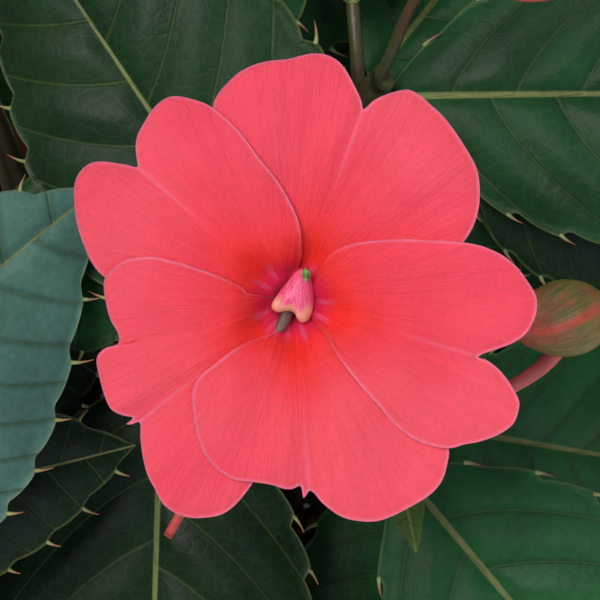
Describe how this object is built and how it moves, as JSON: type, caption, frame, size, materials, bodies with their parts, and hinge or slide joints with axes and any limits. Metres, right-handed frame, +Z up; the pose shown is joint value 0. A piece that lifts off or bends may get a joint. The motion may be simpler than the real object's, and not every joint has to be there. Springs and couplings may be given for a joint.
{
  "type": "potted new guinea impatiens",
  "caption": "Bushy New Guinea impatiens in a plain clay pot, with saw-edged dark green leaves and flat coral blooms, each with a hooded column and a long curved spur",
  "frame": {"origin": "middle of the pot's foot", "axes": "+Z up, -Y is the front, where the front bloom faces up and forwards"},
  "size_m": [0.3354, 0.3084, 0.3233],
  "materials": {
    "clay": "matte unglazed terracotta",
    "mix": "moist crumbly potting mix, rough",
    "foliage": "dark green, satin, slightly waxy leaf surface",
    "petals": "coral, velvety matte petal",
    "spur": "red, satin",
    "column": "pink, satin",
    "bud": "yellow-green, satin"
  },
  "bodies": {
    "root": {"pot": "clay", "potting_mix": "mix", "shoot_front": "foliage", "shoot_middle": "foliage", "shoot_crown": "foliage", "shoot_left_front": "foliage", "shoot_top": "foliage", "shoot_left": "foliage", "shoot_back_left": "foliage", "shoot_back": "foliage", "shoot_back_right": "foliage", "shoot_right": "foliage", "shoot_front_low": "foliage", "petals_front": "petals", "column_front": "column", "spur_front": "spur", "petals_left_front": "petals", "column_left_front": "column", "spur_left_front": "spur", "petals_top": "petals", "column_top": "column", "spur_top": "spur", "petals_left": "petals", "column_left": "column", "spur_left": "spur", "petals_back_left": "petals", "column_back_left": "column", "spur_back_left": "spur", "petals_back": "petals", "column_back": "column", "spur_back": "spur", "petals_back_right": "petals", "column_back_right": "column", "spur_back_right": "spur", "petals_right": "petals", "column_right": "column", "spur_right": "spur", "petals_front_low": "petals", "column_front_low": "column", "spur_front_low": "spur", "bud_right": "bud", "bud_crown": "bud", "bud_top": "bud", "bud_left": "bud", "bud_back_left": "bud", "bud_back_right": "bud"}
  },
  "joints": []
}
